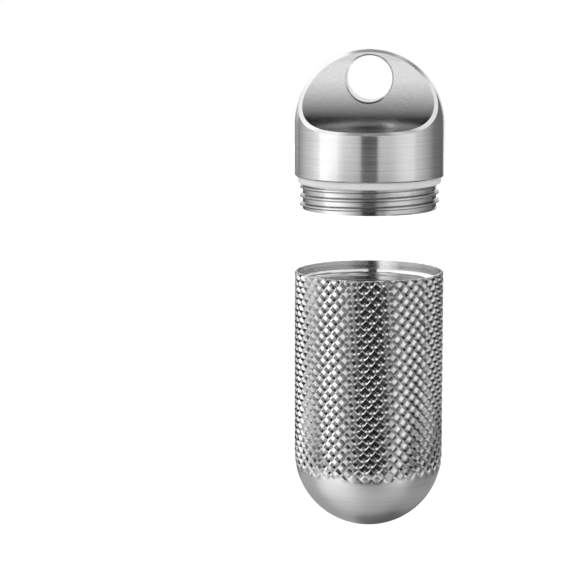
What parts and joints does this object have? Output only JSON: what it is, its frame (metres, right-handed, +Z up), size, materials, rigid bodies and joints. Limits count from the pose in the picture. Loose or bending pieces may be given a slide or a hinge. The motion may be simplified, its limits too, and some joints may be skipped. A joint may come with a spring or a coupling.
{
  "type": "pill fob keychain",
  "caption": "Waterproof metal pill fob: a domed screw cap with a scooped key ring hole and a soft seal, over a diamond-knurled tube with a round bottom.",
  "frame": {"origin": "centre of the key ring hole, on the fob's axis", "axes": "+Z up along the fob's axis from the tube to the cap, Y along the key ring hole, X across the web"},
  "size_m": [0.024, 0.024, 0.0774],
  "materials": {
    "cap_metal": "bare aluminium, fine turning lines",
    "seal_silicone": "matt white silicone",
    "tube_metal": "bare aluminium, diamond knurl, satin bottom"
  },
  "bodies": {
    "cap": {"cap": "cap_metal"},
    "seal": {"seal_ring": "seal_silicone"},
    "tube": {"tube": "tube_metal"}
  },
  "joints": [
    {"name": "screw_turn", "type": "hinge", "parent": "cap", "child": "seal", "pos_m": [0, 0, -0.0162], "axis": [0, 0, 1], "range_deg": [0, 3960]},
    {"name": "screw_travel", "type": "slide", "parent": "seal", "child": "tube", "axis": [0, 0, 1], "range_m": [0, 0.0154]}
  ],
  "couplings": [
    {"joint": "screw_travel", "follows": "screw_turn", "m_per_rad": 0.00022282}
  ]
}
